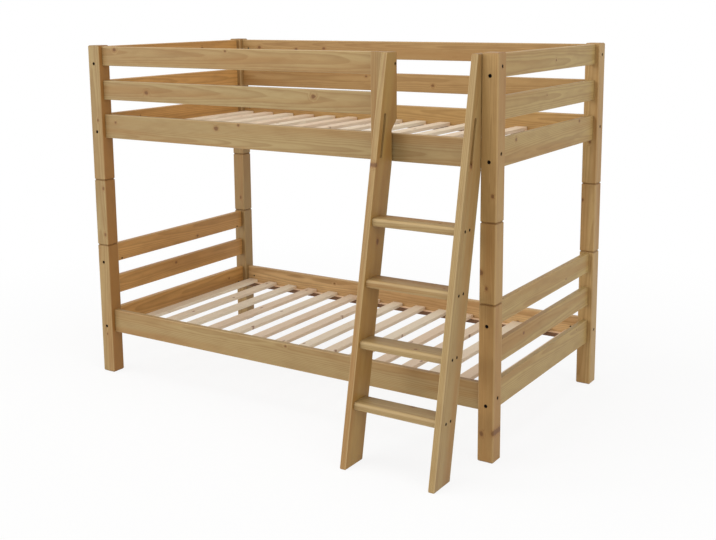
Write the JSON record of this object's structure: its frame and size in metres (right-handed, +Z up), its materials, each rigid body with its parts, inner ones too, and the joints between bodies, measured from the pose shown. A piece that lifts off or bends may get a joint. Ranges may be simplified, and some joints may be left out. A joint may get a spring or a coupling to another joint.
{
  "type": "bunk bed",
  "caption": "Bunk bed of solid pine: two slatted beds one above the other on square posts with spacer posts, guard rails round the upper bunk and a slanting ladder at the front.",
  "frame": {"origin": "on the floor, in the middle of the box round the whole bed with its ladder", "axes": "+X along the bed towards the ladder's end, +Y from the ladder's side to the rear, +Z up"},
  "size_m": [2.06, 1.4256, 1.55],
  "materials": {
    "pine": "clear satin lacquer",
    "slat_wood": "planed and left bare",
    "steel": "zinc plated"
  },
  "bodies": {
    "root": {"front_left_lower_post": "pine", "front_left_spacer_post": "pine", "front_left_upper_post": "pine", "front_left_lower_dowel": "steel", "front_left_upper_dowel": "steel", "front_right_lower_post": "pine", "front_right_spacer_post": "pine", "front_right_upper_post": "pine", "front_right_lower_dowel": "steel", "front_right_upper_dowel": "steel", "rear_left_lower_post": "pine", "rear_left_spacer_post": "pine", "rear_left_upper_post": "pine", "rear_left_lower_dowel": "steel", "rear_left_upper_dowel": "steel", "rear_right_lower_post": "pine", "rear_right_spacer_post": "pine", "rear_right_upper_post": "pine", "rear_right_lower_dowel": "steel", "rear_right_upper_dowel": "steel", "lower_left_end_rail_low": "pine", "lower_left_end_rail_middle": "pine", "lower_left_end_rail_top": "pine", "lower_right_end_rail_low": "pine", "lower_right_end_rail_middle": "pine", "lower_right_end_rail_top": "pine", "upper_left_end_rail_low": "pine", "upper_left_end_rail_middle": "pine", "upper_left_end_rail_top": "pine", "upper_right_end_rail_low": "pine", "upper_right_end_rail_middle": "pine", "upper_right_end_rail_top": "pine", "lower_front_side_rail": "pine", "lower_rear_side_rail": "pine", "upper_front_side_rail": "pine", "upper_rear_side_rail": "pine", "rear_guard_rail_middle": "pine", "rear_guard_rail_top": "pine", "front_guard_rail_middle": "pine", "front_guard_rail_top": "pine", "lower_slat_base": "slat_wood", "upper_slat_base": "slat_wood", "guard_upright": "pine", "ladder_stile_left": "pine", "ladder_stile_right": "pine", "ladder_tread_1": "pine", "ladder_tread_2": "pine", "ladder_tread_3": "pine", "ladder_tread_4": "pine", "ladder_bolt_left": "steel", "ladder_bolt_right": "steel"}
  },
  "joints": []
}
